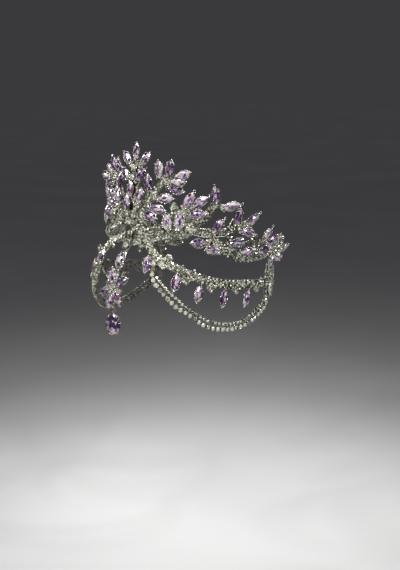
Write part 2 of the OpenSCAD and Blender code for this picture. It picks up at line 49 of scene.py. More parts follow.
# Sizes that the part's source gives, in millimetres
SEAT_WIDTH, SEAT_DEPTH, HEAD_WIDTH, HEAD_DEPTH = 150, 180, 160, 196
HEAD_FORWARD, BAND_THICK, CUP_FLOOR, LEAF_LEN = 11, 2, 0.8, 16.6
LEAF_WID, LEAF_TOP, LEAF_DEEP, LEAF_OUT = 8.3, 1.9, 1.5, 4.8
LEAF_TILT, ROUND_DIA, OVAL_LEN, OVAL_WID = 8, 5.6, 19, 14.2
OVAL_TOP, OVAL_DEEP, RING_WIRE, RING_R = 2.4, 2.2, 0.4, 1.5
BAIL_R, STRAND_THICK, SQUARE_SIDE, STRAND_ROUND_DIA = 1.2, 2, 7.6, 6.4
STRAP_STONE_LEN, STRAP_STONE_WID, OUTER_CUP, INNER_CUP = 12.6, 6, 4.5, 3
OUTER_PITCH, INNER_PITCH, STEM_AT, CENTRE_STEM = 5.1, 4.2, 0.31, 12
FLOWER_Z, BROW_LEAF_Z, FLOWER_HIGH, PETAL_TILT = -20.5, 3.5, 0.97, -6
CONNECTOR_THICK, FLOWER_ROUND, FLOWER_OUT, FRONTLET_OUT = 1.6, 4.6, 0.5, 3
TAB_ROUND_OUT, DROP_Y, LOOP_R, LOOP_Z = 4.1, -112, 1.25, -40.6
RING_SLACK, OVAL_BELOW_BAIL, OVAL_FORWARD, DROP_TURN = 0.12, 0.4, 1.12, 20
SMALL_BAIL, SMALL_WIRE, STRAND_ROUND_OUT, STAPLE_OUT = 1, 0.32, 4, 3.6
DROP_SEAT, SQUARE_RAISE, STRAP_OUT, CUP_HIGH = 0.25, 0.4, 4.2, 0.6

# Places that the part's source gives
# How far the crown leans outwards above its hem: [angle round the head, degrees]
LEAN = [[0, -12], [15, -11], [30, -8], [45, -3], [60, 5], [90, 12], [110, 20], [130, 30]]
# Height of the hem, where the lean starts: [angle round the head, height]
HEM = [[0, 36], [30, 30], [45, 32], [60, 22], [70, 10], [80, 2], [90, 0]]
# Curve of the forehead below the crown: [height, distance behind the origin]
BROW_CURVE = [[-50, -112], [-30, -110.5], [-20, -109.5], [-12, -107], [-4, -104], [4, -100],
    [10, -96.5], [17, -93], [28, -89.5], [38, -87]]
# Crystal bands of the crown's left half, each a list of [angle, height, width]
BANDS = [
    # Front scroll, from under the peak round to the side spray
    [[-3, 42, 10], [8, 41, 11], [18, 36.5, 12], [26, 31.5, 12], [34, 30.5, 12], [40, 32.5, 11.5],
        [46, 38, 10.5], [52, 44, 9.5], [57, 50, 8], [60, 58, 6]],
    # Middle scroll
    [[43, 35, 6], [52, 31.5, 7], [60, 31, 7], [67, 31.5, 7], [71, 36, 6], [72.5, 43, 5]],
    # Side scroll, the rim round to the back
    [[56.5, 31, 6], [59.5, 24.5, 7], [64, 19, 8], [69, 12.5, 9], [76, 7, 10], [84, 5, 10], [92, 5, 10],
        [103, 6, 10], [113, 8, 9], [122, 11, 6]],
    # Branch up to the front spray
    [[5, 46, 10], [11, 54, 10], [17, 63, 9], [22, 71, 7], [27, 78, 5]],
    # Curl between the front leaves
    [[33.5, 36, 6], [35, 44, 8], [35.5, 51, 8], [33.5, 58, 6]],
    # Root of the side spray
    [[40, 38, 6], [42.5, 45, 6], [41.5, 53, 5]],
    # Bridge from the middle scroll down to the rim
    [[71.5, 12, 6], [70, 21, 6], [70.5, 31, 6]],
    # Hook behind the middle scroll
    [[72, 35, 4], [78, 35, 4.5], [83.5, 30.5, 5], [86.5, 22, 5], [88, 9, 5]],
    # Tail at the back
    [[107, 9, 5], [112, 14, 4.5], [117, 19, 3.5]]
]
# Crystal band on the centre line
CENTRE_BAND = [[0, 37, 14], [0, 44, 19], [0, 51, 18], [0, 58, 16], [0, 70, 14], [0, 82, 11], [0, 92, 6]]
GROUPS = ["peak", "front", "curl", "side", "scroll", "middle", "hem", "back", "tail"]
# Sprays of the left half: [group, hub angle, hub height, leaves], where a leaf is
# [angle, height, heading of its tip, extra height out], and heading 0 points back round the head
SPRAYS = [
    ["peak", 1, 88, [[10.5, 97, 45, 0]]],
    ["peak", 1, 74, [[8.5, 82.5, 45, 0.5]]],
    ["peak", 16, 61, [[11, 62.5, 75, 3.5], [15.5, 75, 92, 0]]],
    ["front", 27, 78, [[24, 88.5, 95, 0], [32.5, 89.5, 72, 0], [41, 84, 18, 0], [38.5, 77.5, 6, 4],
        [36.5, 71, -16, 0]]],
    ["curl", 18, 64, [[29, 62.5, 0, 0]]],
    ["curl", 12, 54, [[23.5, 52.5, -8, 0], [19.5, 45.5, -15, 3.5]]],
    ["curl", 35.5, 49, [[30.5, 40.5, -75, 0], [38.5, 42, -100, 0.5]]],
    ["side", 41.5, 53, [[44.5, 61.5, 58, 0], [51.5, 60, 36, 0.5], [49.5, 48.5, 6, 0]]],
    ["scroll", 60, 57, [[60, 66.5, 98, 0], [69.5, 56, 12, 0]]],
    ["middle", 73, 38, [[74, 45.5, 88, 0], [82.5, 42.5, 42, 0]]],
    ["middle", 58, 31, [[62, 37.5, 52, 0]]],
    ["hem", 59.5, 25, [[50, 22, 175, 0]]],
    ["hem", 65, 18, [[58.5, 15, 172, 0]]],
    ["back", 74, 34.5, [[80.5, 30.6, -20, 0]]],
    ["back", 90, 8, [[95, 26.5, 62, 0], [101.5, 20.5, 36, 0.5]]],
    ["back", 70, 22, [[75, 21.5, 3, 0]]],
    ["back", 78, 8, [[82.5, 12, 8, 0]]],
    ["back", 88, 9, [[93.5, 12.5, 14, 2.5]]],
    ["tail", 120, 9, [[126, 7, 20, 0]]],
    ["tail", 112, 6, [[106.5, -1.8, 188, 0], [117.5, -1.8, -8, 0]]]
]
# Leaves on the centre line: [angle, height, heading, extra height out]
CENTRE_LEAVES = [[0, 103, 90, 0], [0, 68, 90, 1], [0, 55.5, 90, 3]]
# Round stones on the centre line: [angle, height, extra height out]
CENTRE_ROUNDS = [[0, 88, 0], [0, 79.5, 0.5]]
# Petals of the forehead flower: [heading, distance of the petal's middle from the flower's]
PETALS = [[112, 11], [31, 11.2], [205, 11.2], [254, 13.8], [303, 11.6]]
# Tab that hangs from the crown: [distance to the wearer's left, height, width]
TAB = [[5.5, 35, 10], [4.2, 28, 8.5], [2.6, 19, 6.5], [1.2, 11.5, 4.5]]
# Round crystals on the tab: [distance to the wearer's left, height, diameter]
TAB_ROUNDS = [[4.5, 28.2, 5], [1.6, 16.3, 6.2]]
CONNECTOR = [[0, -32, 6], [0, -36, 4.5], [0, -39.6, 2.4]]
# Round crystal between two petals: [heading, distance]
FLOWER_ROUND_AT = [-14, 9.6]
# Front ends of the left and the right strand, each a list of [angle, height, width]
STRAND_FRONTS = [[[12, 29.9, 6], [14.5, 25.2, 7]], [[1, 26.5, 6], [6, 25, 7], [12.5, 21, 7.5]]]
# Rest of a side strand: [angle, height, width]
STRAND = [[19, 17.5, 7], [24, 11, 7.5], [29.5, 6.5, 7.5], [36, 2.5, 7.5], [42, -1, 7.5], [48.5, -5.5, 8],
    [55.8, -9.5, 8.5], [64, -13.8, 8.5], [72.5, -16.6, 8.5], [80.5, -18.6, 8.5], [88.3, -19.6, 8.5],
    [95.5, -21.5, 8], [103.8, -22.4, 7.5]]
# Short curl at the strand's front end
STRAND_CURL = [[15, 22.5, 5], [12.6, 18.5, 5.5], [12.6, 13.5, 4]]
# Square units of a side strand: [angle, height]
SQUARES = [[31.5, 3.3], [47.2, -10], [63, -18.4], [79.8, -22.6], [95.8, -24.2]]
# Round crystal on the strand's upper edge: [angle, height]
STRAND_ROUND = [34.2, 8]
# Hanging loops of a strand's drops: [angle, height, lean of the drop's lower end to the front]
DROP_LOOPS = [[20.8, 11, 4], [41.6, -3.6, 11], [56.3, -14.8, 17], [71.4, -20.2, 15], [87.8, -24, 25]]
# Back strap: [angle, height, width]
STRAP = [[112, -6.8, 15], [111, -13, 19], [110.3, -20, 21], [109.8, -28, 20], [108, -36, 14],
    [106, -42, 7], [104.2, -46.5, 4]]
STRAP_STONE = [107.4, -29]
# Cup chains: [angle, height]
OUTER_CHAIN = [[25.4, 3.55], [25.8, -2.5], [26.6, -7], [28.5, -12], [31, -16.3], [34.3, -21.2],
    [37.6, -26.4], [40.3, -31], [43.2, -35.2], [47, -39], [50.5, -43.2], [53.5, -46.2], [56, -49.7],
    [60, -54.2], [65, -57.2], [70, -59], [76, -60], [81.3, -59.5], [87, -57.8], [92, -54.8], [97, -50.9],
    [100, -48.7], [102.1, -46.9]]
INNER_CHAIN = [[29.7, -8.4], [32.5, -12.7], [34.8, -15.9], [38.5, -21.4], [43, -27.6], [46.8, -33.2],
    [49, -36], [53.3, -41], [57.3, -45.6], [61.5, -49.8], [64, -51.6], [67.3, -53.2], [70.5, -54.4],
    [74.5, -55.4], [79, -55.4], [83, -54.7], [87, -53.2], [91, -50.7], [95, -47.2], [99, -43.6],
    [103, -40.2]]


# Surfaces that the crown, the strands and the frontlet lie on
SHELL, HEAD, BROW = "shell", "head", "brow"
SIDES = ["left", "right"]
# Material of rims, claws, wires and beads
WIRE = "claw_silver"


def unit(v):
    return v / np.linalg.norm(v)


def lookup(x, table):
    return float(np.interp(x, [row[0] for row in table], [row[1] for row in table]))


def spot(surface, u, v):
    """A point of the crown's shell, of the head under the strands, or of the forehead."""
    if surface == BROW:
        return np.array([u, lookup(v, BROW_CURVE), v])
    s, c = math.sin(math.radians(u)), math.cos(math.radians(u))
    if surface == HEAD:
        reach = -lookup(v, BROW_CURVE) - HEAD_FORWARD if abs(u) < 90 else HEAD_DEPTH / 2
        return np.array([HEAD_WIDTH / 2 * s, -HEAD_FORWARD - reach * c, v])
    foot = np.array([SEAT_WIDTH / 2 * s, -SEAT_DEPTH / 2 * c, v])
    away = unit(np.array([s / SEAT_WIDTH, -c / SEAT_DEPTH, 0]))
    lean = math.tan(math.radians(lookup(abs(u), LEAN)))
    return foot + away * lean * max(0, v - lookup(abs(u), HEM))


def round_dir(surface, u, v):
    return unit(spot(surface, u + 1, v) - spot(surface, u - 1, v))


def out_dir(surface, u, v):
    return unit(np.cross(round_dir(surface, u, v), spot(surface, u, v + 1) - spot(surface, u, v - 1)))


def up_dir(surface, u, v):
    return np.cross(out_dir(surface, u, v), round_dir(surface, u, v))


def raised(surface, u, v, out):
    return spot(surface, u, v) + out * out_dir(surface, u, v)


def place(origin, x, z):
    """Matrix that lays a shape with its X along x and its Z along z."""
    m = np.eye(4)
    m[:3, 0], m[:3, 1], m[:3, 2], m[:3, 3] = x, np.cross(z, x), z, origin
    return m


def lay(surface, u, v, out, heading=0, tilt=0):
    """Lays a shape on a surface, its X along the heading and its Z outwards."""
    h, t = math.radians(heading), math.radians(tilt)
    level = math.cos(h) * round_dir(surface, u, v) + math.sin(h) * up_dir(surface, u, v)
    o = out_dir(surface, u, v)
    x = math.cos(t) * level + math.sin(t) * o
    z = math.cos(t) * o - math.sin(t) * level
    return place(raised(surface, u, v, out), x, z)


def shifted(m, x=0, y=0, z=0):
    s = np.eye(4)
    s[:3, 3] = x, y, z
    return m @ s


def turned(m, angle, axis="z"):
    a = math.radians(angle)
    i, j = {"z": (0, 1), "x": (1, 2), "y": (2, 0)}[axis]
    r = np.eye(4)
    r[i, i] = r[j, j] = math.cos(a)
    r[i, j], r[j, i] = -math.sin(a), math.sin(a)
    return m @ r


def curve(rows, steps):
    """Smooth curve through the rows of a table, with some steps between each two rows."""
    rows = np.array(rows, float)
    n = len(rows) - 1
    made = []
    for i in range(n):
        a, b, c, d = rows[max(0, i - 1)], rows[i], rows[i + 1], rows[min(n, i + 2)]
        for k in range(steps):
            t = k / steps
            made.append(0.5 * (2 * b + (c - a) * t + (2 * a - 5 * b + 4 * c - d) * t ** 2
                               + (3 * b - a - 3 * c + d) * t ** 3))
    return np.array(made + [rows[n]])


def shown(name, data):
    """New object in the scene."""
    made = bpy.data.objects.new(name, data)
    bpy.context.scene.collection.objects.link(made)
    return made


class Pile:
    """Shapes gathered in millimetres into one mesh, each face with its own material."""

    def __init__(self):
        self.points, self.faces, self.looks = [], [], []

    def add(self, shape, look, m=None):
        """Adds a shape. Its look is one material's name, or a list with a name for each face."""
        points, faces = shape
        points = np.array(points, float)
        if m is not None:
            points = points @ m[:3, :3].T + m[:3, 3]
        start = len(self.points)
        self.points.extend(points)
        flip = m is not None and np.linalg.det(m[:3, :3]) < 0
        for k, face in enumerate(faces):
            self.faces.append([start + i for i in (reversed(face) if flip else face)])
            self.looks.append(look[k % len(look)] if isinstance(look, list) else look)

    def mirrored(self):
        other = Pile()
        other.points = [p * (-1, 1, 1) for p in self.points]
        other.faces = [face[::-1] for face in self.faces]
        other.looks = list(self.looks)
        return other

    def piece(self, name, body):
        """Makes the Blender object, in metres, with smooth wires, and lets it ride on a body."""
        mesh = bpy.data.meshes.new(name)
        mesh.from_pydata([tuple(p * MM) for p in self.points], [], self.faces)
        names = sorted(set(self.looks))
        for look in names:
            mesh.materials.append(MATERIALS[look])
        index = {look: i for i, look in enumerate(names)}
        mesh.polygons.foreach_set("material_index", [index[look] for look in self.looks])
        mesh.polygons.foreach_set("use_smooth", [look == WIRE for look in self.looks])
        mesh.update()
        made = shown(name, mesh)
        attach(made, body)
        return made


# Shapes, in millimetres: each is (points, faces), with faces anticlockwise seen from outside

def leaf_outline(a, b, turn):
    """Point of a leaf outline of two arcs, at a share of a turn."""
    radius = (a * a + b * b) / (2 * b)
    x = a * math.cos(2 * math.pi * turn)
    y = math.sqrt(max(0, radius * radius - x * x)) - (radius - b)
    return x, math.copysign(max(0, y), math.sin(2 * math.pi * turn))


def oval_outline(a, b, turn):
    return a * math.cos(2 * math.pi * turn), b * math.sin(2 * math.pi * turn)


# Cut of the stones: shares of the outline and of the height, for table, crown and back facets and for the
# star on the table, then the girdle's height
TABLE, CROWN_RING, CROWN_RISE, BACK_RING, BACK_DROP, STAR = 0.54, 0.82, 0.52, 0.55, 0.6, 0.26
GIRDLE = 0.12
# Ends of the keel, by number, that each of the eight back facets runs down to
KEEL_ENDS = [[0], [0], [0, 1], [1], [1], [1], [1, 0], [0]]


def cut_stone(outline, a, b, top, deep, keel):
    """Brilliant cut: table with its star, kites and girdle facets, and mains down to a short keel."""
    points = []

    def ring(count, share, z, half):
        first = len(points)
        for i in range(count):
            x, y = outline(a, b, (i + half) / count)
            points.append((x * share, y * share, z))
        return [first + i for i in range(count)]

    star = ring(8, STAR, top, 0.5)
    table = ring(8, TABLE, top, 0)
    crown = ring(8, CROWN_RING, top * CROWN_RISE, 0.5)
    upper = ring(16, 1, GIRDLE / 2, 0)
    lower = ring(16, 1, -GIRDLE / 2, 0)
    back = ring(8, BACK_RING, -deep * BACK_DROP, 0.5)
    ends = [len(points), len(points) + 1]
    points += [(keel, 0, -deep), (-keel, 0, -deep)]
    faces = [star]
    for i in range(8):
        j, h = (i + 1) % 8, (i - 1) % 8
        faces += [
            [table[i], table[j], star[i]],
            [star[i], table[j], star[j]],
            [table[j], table[i], crown[i]],
            [table[i], crown[h], upper[2 * i], crown[i]],
            [crown[i], upper[2 * i], upper[2 * i + 1]],
            [crown[i], upper[2 * i + 1], upper[(2 * i + 2) % 16]],
            [back[i], lower[2 * i + 1], lower[2 * i]],
            [back[i], lower[(2 * i + 2) % 16], lower[2 * i + 1]],
            [back[i], lower[2 * i], back[h]] + [ends[end] for end in KEEL_ENDS[i]]
        ]
    for i in range(16):
        faces.append([lower[i], lower[(i + 1) % 16], upper[(i + 1) % 16], upper[i]])
    return points, faces


# A small crystal's table and depth, as shares of its radius
SMALL_TABLE, SMALL_BACK = 0.55, 0.5


def small_crystal(r, rise):
    """Small round crystal: an eight-sided table, a ring of kite facets, and a pointed back."""
    points = [(*oval_outline(r * SMALL_TABLE, r * SMALL_TABLE, i / 8), rise) for i in range(8)]
    points += [(*oval_outline(r, r, (i + 0.5) / 8), 0) for i in range(8)]
    points.append((0, 0, -r * SMALL_BACK))
    faces = [list(range(8))]
    for i in range(8):
        j = (i + 1) % 8
        faces += [[i, 8 + i, j], [8 + i, 8 + j, j], [8 + j, 8 + i, 16]]
    return points, faces


@functools.cache
def bead(r):
    """Small round bead of twenty faces."""
    g = (1 + math.sqrt(5)) / 2
    k = r / math.sqrt(1 + g * g)
    points = [np.roll((s * k, t * g * k, 0), axis) for axis in range(3) for t in (1, -1) for s in (-1, 1)]
    faces = []
    for i, j, l in itertools.combinations(range(12), 3):
        p, q, w = points[i], points[j], points[l]
        if all(abs(np.linalg.norm(e) - 2 * k) < 1e-6 for e in (p - q, q - w, w - p)):
            outward = np.dot(np.cross(q - p, w - p), p) > 0
            faces.append([i, j, l] if outward else [i, l, j])
    return points, faces


def tube(path, radii, sides=6, closed=False):
    """Round wire along a path, with its radius at each point."""
    path = np.array(path, float)
    n = len(path)
    if np.isscalar(radii):
        radii = [radii] * n
    points, faces = [], []
    side = None
    for i in range(n):
        before = path[i - 1] if closed else path[max(0, i - 1)]
        after = path[(i + 1) % n] if closed else path[min(n - 1, i + 1)]
        along = unit(after - before)
        if side is None:
            side = np.cross(along, (0, 0, 1) if abs(along[2]) < 0.9 else (1, 0, 0))
        side = unit(side - along * np.dot(side, along))
        other = np.cross(along, side)
        for k in range(sides):
            t = 2 * math.pi * k / sides
            points.append(path[i] + radii[i] * (math.cos(t) * side + math.sin(t) * other))
    for i in range(n if closed else n - 1):
        for k in range(sides):
            a, b = i * sides + k, i * sides + (k + 1) % sides
            c, d = ((i + 1) % n) * sides + (k + 1) % sides, ((i + 1) % n) * sides + k
            faces.append([a, b, c, d])
    if not closed:
        faces.append(list(range(sides))[::-1])
        faces.append([(n - 1) * sides + k for k in range(sides)])
    return points, faces


# Materials

# Waves or cells a metre of each pattern, and depths of the relief in metres
METAL_GRAIN, PAINTED_REFLECTION_WAVES, CUP_CELLS, FLOOR_GRAIN = 900, 500, 400, 3
DENT_DEPTH, DOME_DEPTH = 0.0003, 0.0006


def feed(node, **inputs):
    """Gives a node's sockets, named with an underscore for each space, a value or another node's output."""
    for name, source in inputs.items():
        socket = node.inputs[name.replace("_", " ")]
        if isinstance(source, bpy.types.NodeSocket):
            node.id_data.links.new(source, socket)
        else:
            socket.default_value = source
    return node


def add_node(tree, kind, **inputs):
    return feed(tree.nodes.new("ShaderNode" + kind), **inputs)


def shader(name):
    made = bpy.data.materials.new(name)
    made.use_nodes = True
    return made, made.node_tree, made.node_tree.nodes["Principled BSDF"]


def own_place(tree):
    """Place in the object's own metres."""
    return add_node(tree, "TexCoord").outputs["Object"]


def pattern(tree, scale, detail=2.0):
    """Noise with about as many waves a metre as the scale."""
    return add_node(tree, "TexNoise", Vector=own_place(tree), Scale=scale, Detail=detail).outputs["Fac"]


def ramp(tree, value, *stops):
    """Colour that follows a value, through stops of (value, colour)."""
    made = add_node(tree, "ValToRGB", Fac=value)
    elements = made.color_ramp.elements
    while len(elements) < len(stops):
        elements.new(0.5)
    for element, (at, color) in zip(elements, stops):
        element.position = at
        element.color = (*color, 1)
    return made.outputs["Color"]


def metal(name, light, dark, smooth, rough):
    """Cast and plated metal: slightly uneven in colour and gloss."""
    made, tree, bsdf = shader(name)
    fine = pattern(tree, METAL_GRAIN)
    gloss = add_node(tree, "MapRange", Value=pattern(tree, METAL_GRAIN / 3), To_Min=smooth, To_Max=rough)
    dents = add_node(tree, "Bump", Height=fine, Strength=0.03, Distance=DENT_DEPTH)
    feed(bsdf, Base_Color=ramp(tree, fine, (0.35, dark), (0.65, light)), Metallic=1,
         Roughness=gloss.outputs["Result"], Normal=dents.outputs["Normal"])
    return made


def cup_backs(name, light, dark, rough):
    """Metal cast as a field of small closed cups, which shows as low domes with painted shade in dark lines
    between them.
    """
    made, tree, bsdf = shader(name)
    domes = add_node(tree, "TexVoronoi", Vector=own_place(tree), Scale=CUP_CELLS, Randomness=0.6)
    depth = domes.outputs["Distance"]
    relief = add_node(tree, "Bump", Height=depth, Strength=0.6, Distance=DOME_DEPTH)
    relief.invert = True
    # Each dome is light at its middle and dark towards its edge: painted shade between the domes, on top of
    # the bump relief
    feed(bsdf, Base_Color=ramp(tree, depth, (0.3, light), (0.62, dark)), Metallic=1, Roughness=rough,
         Normal=relief.outputs["Normal"])
    return made


def cut_glass(name, light, dark, foil):
    """Foil-backed cut glass: a clear coat over a tinted, partly mirroring body, whose colour waves between
    a light and a dark tone inside the stone as painted reflections.
    """
    made, tree, bsdf = shader(name)
    tone = ramp(tree, pattern(tree, PAINTED_REFLECTION_WAVES, 1.0), (0.38, dark), (0.62, light))
    feed(bsdf, Base_Color=tone, Metallic=foil, Roughness=0.06, IOR=1.6, Coat_Weight=1, Coat_Roughness=0.02)
    return made


MATERIALS = {
    "silver": cup_backs("silver", (0.50, 0.49, 0.42), (0.12, 0.12, 0.10), 0.36),
    WIRE: metal(WIRE, (0.58, 0.57, 0.50), (0.38, 0.37, 0.32), 0.12, 0.24),
    # Nearly black metal for the strip under the crystals: painted shade between them
    "bed_silver": metal("bed_silver", (0.10, 0.10, 0.08), (0.05, 0.05, 0.04), 0.35, 0.6),
}
# Tones of glass, each with its light and its dark colour and its share of foil. The lilac and the clear
# tones are lit and shaded copies of one glass: the darkest are painted shade and painted dark reflections,
# and the palest lilac and the brightest clear tone are partly the glass's own colour and partly painted
# highlight
GLASS = {
    "lilac_pale": [(0.72, 0.61, 0.74), (0.44, 0.33, 0.47), 0.35],
    "lilac_mid": [(0.30, 0.20, 0.34), (0.16, 0.09, 0.20), 0.5],
    "lilac_deep": [(0.085, 0.04, 0.115), (0.035, 0.015, 0.05), 0.5],
    "lilac_wine": [(0.26, 0.09, 0.15), (0.11, 0.03, 0.07), 0.5],
    "crystal_bright": [(0.74, 0.74, 0.63), (0.46, 0.46, 0.37), 0.3],
    "crystal_mid": [(0.28, 0.28, 0.21), (0.15, 0.15, 0.11), 0.4],
    "crystal_smoke": [(0.09, 0.09, 0.07), (0.03, 0.03, 0.025), 0.5],
}
MATERIALS.update({tone: cut_glass(tone, *glass) for tone, glass in GLASS.items()})
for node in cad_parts.values():
    slots = node.data.materials
    for i in range(max(1, len(slots))):
        if i < len(slots):
            slots[i] = MATERIALS["silver"]
        else:
            slots.append(MATERIALS["silver"])

# How often each tone of glass shows among the facets of a stone, by how light or dark the stone looks on
# the whole, which scatters painted highlights and painted shade over its facets
FACET_TONES = {
    "pale": {"lilac_pale": 5, "lilac_mid": 3, "crystal_bright": 2, "lilac_deep": 2, "crystal_mid": 1},
    "mid": {"lilac_pale": 4, "lilac_mid": 4, "lilac_deep": 3, "crystal_bright": 1, "crystal_mid": 1},
    "deep": {"lilac_pale": 2, "lilac_mid": 4, "lilac_deep": 5, "crystal_smoke": 1},
    "wine": {"lilac_pale": 4, "lilac_mid": 2, "lilac_deep": 2, "lilac_wine": 2, "crystal_bright": 1},
    "clear": {"crystal_bright": 5, "crystal_mid": 4, "crystal_smoke": 2},
    "tip": {"lilac_pale": 5, "crystal_bright": 3, "crystal_mid": 2, "lilac_mid": 2, "lilac_deep": 1},
    # Tones for a stone's painted shade and for its painted highlight, as zoned below uses them
    "dark": {"lilac_deep": 5, "lilac_mid": 3, "crystal_smoke": 2, "lilac_pale": 1},
    "painted_highlight_zone": {"lilac_pale": 4, "crystal_bright": 2, "lilac_wine": 2, "lilac_mid": 2},
}
SMALL_TONES = {"crystal_bright": 6, "crystal_mid": 4, "crystal_smoke": 3}
CHAIN_TONES = {"crystal_bright": 9, "crystal_mid": 3, "crystal_smoke": 1}
# Share of a stone's half length beyond which its facets look clearer
TIP_FROM = 0.55


def pick(chance, tones):
    """One tone at random, each as often as its weight says."""
    return chance.choices(list(tones), list(tones.values()))[0]


def middles(stone):
    """Where the middle of each facet lies along the stone."""
    points, faces = stone
    return [sum(points[i][0] for i in face) / len(face) for face in faces]


def facets(chance, depth, stone):
    """Tones of a stone's facets, clearer towards its two ends."""
    tip_from = TIP_FROM * max(point[0] for point in stone[0])
    end = "clear" if depth == "clear" else "tip"
    return [pick(chance, FACET_TONES[end if abs(x) > tip_from else depth]) for x in middles(stone)]


def cut(pile, chance, depth, stone, m):
    """Adds a stone in the tones of its depth of colour."""
    pile.add(stone, facets(chance, depth, stone), m)


def zoned(chance, stone, line):
    """Tones of a stone with painted shade above a line across it and a painted highlight below, where its
    light comes out.
    """
    return [pick(chance, FACET_TONES["painted_highlight_zone" if x < line else "dark"]) for x in middles(stone)]


# Stones and their settings

LEAF_KEEL, ROUND_KEEL, OVAL_KEEL = 0.22, 0.05, 0.15
# Rim of a cup: its wire's radius, distances outside the stone, and height
RIM_R, RIM_LONG, RIM_WIDE, RIM_Z = 0.24, 0.4, 0.34, -0.05
# Claw: distances of foot and knee outside the stone, heights of root and bend, and the knee's share of rise
CLAW_FOOT, CLAW_KNEE, CLAW_ROOT, CLAW_BEND, KNEE_RISE = 0.75, 0.4, -1.1, 0.1, 0.75
# Its rise, its reach over the stone, its radius and its taper, then what a leaf's two ends have
CLAW_RISE, CLAW_REACH, CLAW_R, CLAW_TAPER = 0.95, 0.8, 0.34, [1.1, 1, 1, 0.6]
END_REACH, END_CLAW_R = 1.3, 0.45
# Places of a leaf's claws, as shares of a turn
END_CLAWS, SIDE_CLAWS = [0, 0.5], [0.16, 0.34, 0.66, 0.84]
EYELET_R, EYELET_WIRE, EYELET_OUT = 1.0, 0.42, 1.5


def leaf_gem(length=LEAF_LEN, width=LEAF_WID):
    return cut_stone(leaf_outline, length / 2, width / 2, LEAF_TOP, LEAF_DEEP, length * LEAF_KEEL)


def round_gem(dia):
    return cut_stone(oval_outline, dia / 2, dia / 2, LEAF_TOP, LEAF_DEEP, dia * ROUND_KEEL)


def claw(outline, a, b, turn, rise=CLAW_RISE, reach=CLAW_REACH, r=CLAW_R):
    """Prong that comes up outside the girdle and bends over it."""
    x, y = outline(a, b, turn)
    far = math.hypot(x, y)
    foot, knee, tip = 1 + CLAW_FOOT / far, 1 + CLAW_KNEE / far, 1 - reach / far
    path = [(x * foot, y * foot, CLAW_ROOT), (x * foot, y * foot, CLAW_BEND),
            (x * knee, y * knee, rise * KNEE_RISE), (x * tip, y * tip, rise)]
    return tube(path, [r * share for share in CLAW_TAPER])


def rim(outline, a, b, r=RIM_R, points=28):
    """Wire round the mouth of a cup."""
    path = [(*outline(a + RIM_LONG, b + RIM_WIDE, k / points), RIM_Z) for k in range(points)]
    return tube(path, r, 5, closed=True)


def eyelet(x):
    """Small loop of wire beyond the tip of a cup."""
    path = [(x + EYELET_R * math.cos(t), EYELET_R * math.sin(t), 0) for t in np.arange(12) * math.pi / 6]
    return tube(path, EYELET_WIRE, 5, closed=True)


def leaf_setting(pile, m, length=LEAF_LEN, width=LEAF_WID, tip_loop=False):
    """Rim and six claws of a leaf stone, and a loop at its tip where it has one."""
    a, b = length / 2, width / 2
    pile.add(rim(leaf_outline, a, b), WIRE, m)
    for turn in END_CLAWS:
        pile.add(claw(leaf_outline, a, b, turn, CLAW_RISE, END_REACH, END_CLAW_R), WIRE, m)
    for turn in SIDE_CLAWS:
        pile.add(claw(leaf_outline, a, b, turn), WIRE, m)
    if tip_loop:
        pile.add(eyelet(a + EYELET_OUT), WIRE, m)


def round_setting(pile, m, dia):
    """Rim and four claws of a round stone."""
    r = dia / 2
    pile.add(rim(oval_outline, r, r, points=20), WIRE, m)
    for k in range(4):
        pile.add(claw(oval_outline, r, r, (k + 0.5) / 4), WIRE, m)


# Fields of small crystals

# Size of a band's crystals, and the step from row to row as a share of it
CRYSTAL, ROW_STEP = 2.7, 0.88
# What is added to a band's width when its crystals are counted and when they are spread
COUNT_SPARE, SPREAD_SPARE = 0.5, 0.3
# Share of a band's length that stays bare at each end
BAND_END = 0.02
# Bead between crystals: its radius, its shift across as a share of the pitch, and its height
BEAD_R, BEAD_ASIDE, BEAD_RISE = 0.3, 0.29, 0.12
# Height of what lies just above a metal face
LIFT = 0.02
# Dark strip below the crystals, painted shade between them: its steps, and its distance inside the edge
SHADE_STRIP_STEP, SHADE_STRIP_INSET = 2, 0.15
# A small crystal's largest turn and tip, share of its radius that it rises, and how often a side facet has
# the tone of its table
SMALL_TURN, SMALL_TIP, SMALL_RISE, SAME_TONE = 45, 7, 0.62, 0.4
# Half the depth within which a cup hides what is near it
COVER_DEPTH = 6


def small_one(pile, chance, m, r, tones=SMALL_TONES):
    """Small crystal, turned and tipped a little at random, on the surface that carries it."""
    m = turned(m, chance.uniform(0, SMALL_TURN))
    m = turned(m, chance.uniform(-SMALL_TIP, SMALL_TIP), "x")
    m = turned(m, chance.uniform(-SMALL_TIP, SMALL_TIP), "y")
    look, other = pick(chance, tones), pick(chance, tones)
    # The table and side facets take two tones at random, and each back facet takes the darkest clear tone:
    # painted shade on the crystal's back
    looks = [look]
    for _ in range(8):
        looks += [look if chance.random() < SAME_TONE else other for _ in range(2)] + ["crystal_smoke"]
    pile.add(small_crystal(r, r * SMALL_RISE), looks, m)


def covered(p, covers):
    """Whether a point lies under one of the cups, each given by its matrix and its half sizes."""
    for m, a, b in covers:
        d = p - m[:3, 3]
        x, y, z = d @ m[:3, 0], d @ m[:3, 1], d @ m[:3, 2]
        if abs(z) < COVER_DEPTH and (x / a) ** 2 + (y / b) ** 2 < 1:
            return True
    return False


def measured(surface, rows, steps=12):
    """The curve through a table's rows as closely spaced rows, with the distance run at each."""
    path = curve(rows, steps)
    spots = np.array([spot(surface, *r[:2]) for r in path])
    run = np.concatenate([[0], np.cumsum(np.linalg.norm(np.diff(spots, axis=0), axis=1))])
    return path, run


def at_run(path, run, where):
    return np.array([np.interp(where, run, path[:, k]) for k in range(path.shape[1])])


